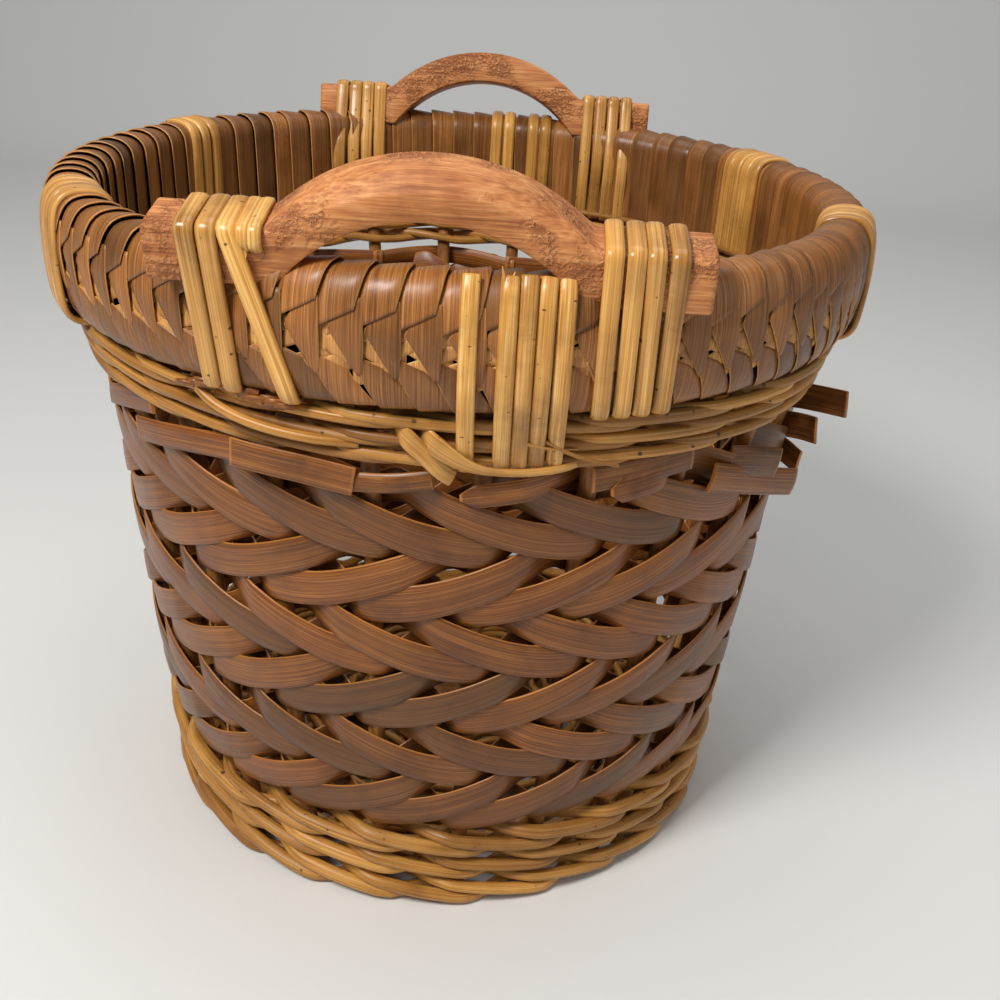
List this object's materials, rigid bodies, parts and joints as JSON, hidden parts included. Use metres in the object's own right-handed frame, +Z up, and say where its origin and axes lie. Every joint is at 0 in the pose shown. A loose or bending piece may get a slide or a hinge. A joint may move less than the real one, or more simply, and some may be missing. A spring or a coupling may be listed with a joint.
{
  "type": "wicker basket",
  "caption": "Round open basket woven from willow and flat splints, with a plaited rim and two carved wooden handles bound on with cane.",
  "frame": {"origin": "middle of the foot, at the level that the basket stands on", "axes": "+Z up, the handles at the front (-Y) and the back (+Y)"},
  "size_m": [0.3005, 0.305, 0.2843],
  "materials": {
    "willow": "peeled willow, satin",
    "splint": "flat splint, satin",
    "rim_dark": "flat strip, dark, satin",
    "rim_plait": "plaited strip, satin",
    "cane": "split cane, glossy skin",
    "handle_wood": "carved hardwood, bare"
  },
  "bodies": {
    "root": {"stake_01": "willow", "stake_02": "willow", "stake_03": "willow", "stake_04": "willow", "stake_05": "willow", "stake_06": "willow", "stake_07": "willow", "stake_08": "willow", "stake_09": "willow", "stake_10": "willow", "stake_11": "willow", "stake_12": "willow", "stake_13": "willow", "stake_14": "willow", "stake_15": "willow", "stake_16": "willow", "stake_17": "willow", "stake_18": "willow", "stake_19": "willow", "stake_20": "willow", "stake_21": "willow", "stake_22": "willow", "stake_23": "willow", "stake_24": "willow", "foot_wale_1": "willow", "foot_wale_2": "willow", "foot_wale_3": "willow", "collar_wale_1": "willow", "collar_wale_2": "willow", "collar_wale_3": "willow", "base_sticks_pierced": "willow", "base_sticks_through": "willow", "base_weave": "willow", "splint_row_1": "splint", "splint_row_2": "splint", "splint_row_3": "splint", "splint_row_4": "splint", "splint_row_5": "splint", "splint_row_6": "splint", "top_splint": "splint", "rim_core": "rim_dark", "rim_inner_hoop": "rim_dark", "rim_lining": "rim_dark", "rim_plait_upper": "rim_plait", "rim_plait_lower": "rim_plait", "rim_cords": "rim_plait", "binding_front": "cane", "binding_right_front": "cane", "binding_right_back": "cane", "binding_back": "cane", "binding_left_back": "cane", "binding_left_front": "cane", "handle_binding_front_right": "cane", "handle_binding_front_left": "cane", "handle_binding_back_right": "cane", "handle_binding_back_left": "cane", "handle_front": "handle_wood", "handle_back": "handle_wood"}
  },
  "joints": []
}
